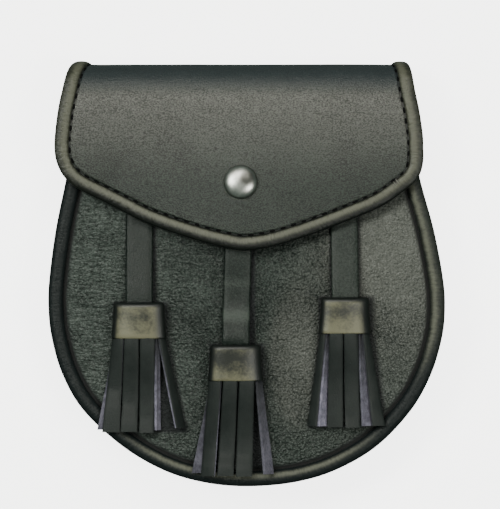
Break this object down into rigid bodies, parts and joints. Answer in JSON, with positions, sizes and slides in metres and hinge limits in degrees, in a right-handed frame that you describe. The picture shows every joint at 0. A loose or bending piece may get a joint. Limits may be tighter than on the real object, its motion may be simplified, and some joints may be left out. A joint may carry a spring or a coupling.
{
  "type": "leather sporran pouch",
  "caption": "Rounded leather pouch with a fold-over pointed flap, a snap cap, rolled edges and hanging leather tassels, worn at the front of a kilt.",
  "frame": {"origin": "under the middle of the pouch, on the surface that it lies on with its front up", "axes": "+Z out of the front, +Y up to the fold of the flap, +X to the right seen from the front"},
  "size_m": [0.1771, 0.1904, 0.0378],
  "materials": {
    "panel_leather": "wrinkled grain, satin",
    "flap_leather": "smooth fine grain, satin",
    "binding_leather": "rolled edge, soft sheen",
    "strap_leather": "smooth, satin",
    "cuff_leather": "polished, olive sheen",
    "fringe_leather": "smooth grain, suede flesh side",
    "snap_metal": "satin pewter"
  },
  "bodies": {
    "root": {"back_panel": "panel_leather", "gusset": "panel_leather", "front_panel": "panel_leather", "front_binding": "binding_leather", "flap": "flap_leather", "flap_binding": "binding_leather", "stud_cap": "snap_metal", "snap_base": "snap_metal", "tassel_strap_left": "strap_leather", "tassel_strap_middle": "strap_leather", "tassel_strap_right": "strap_leather", "tassel_cuff_left": "cuff_leather", "tassel_cuff_middle": "cuff_leather", "tassel_cuff_right": "cuff_leather", "tassel_fringe_left": "fringe_leather", "tassel_fringe_middle": "fringe_leather", "tassel_fringe_right": "fringe_leather", "strap_loop_left": "strap_leather", "strap_loop_right": "strap_leather"}
  },
  "joints": []
}
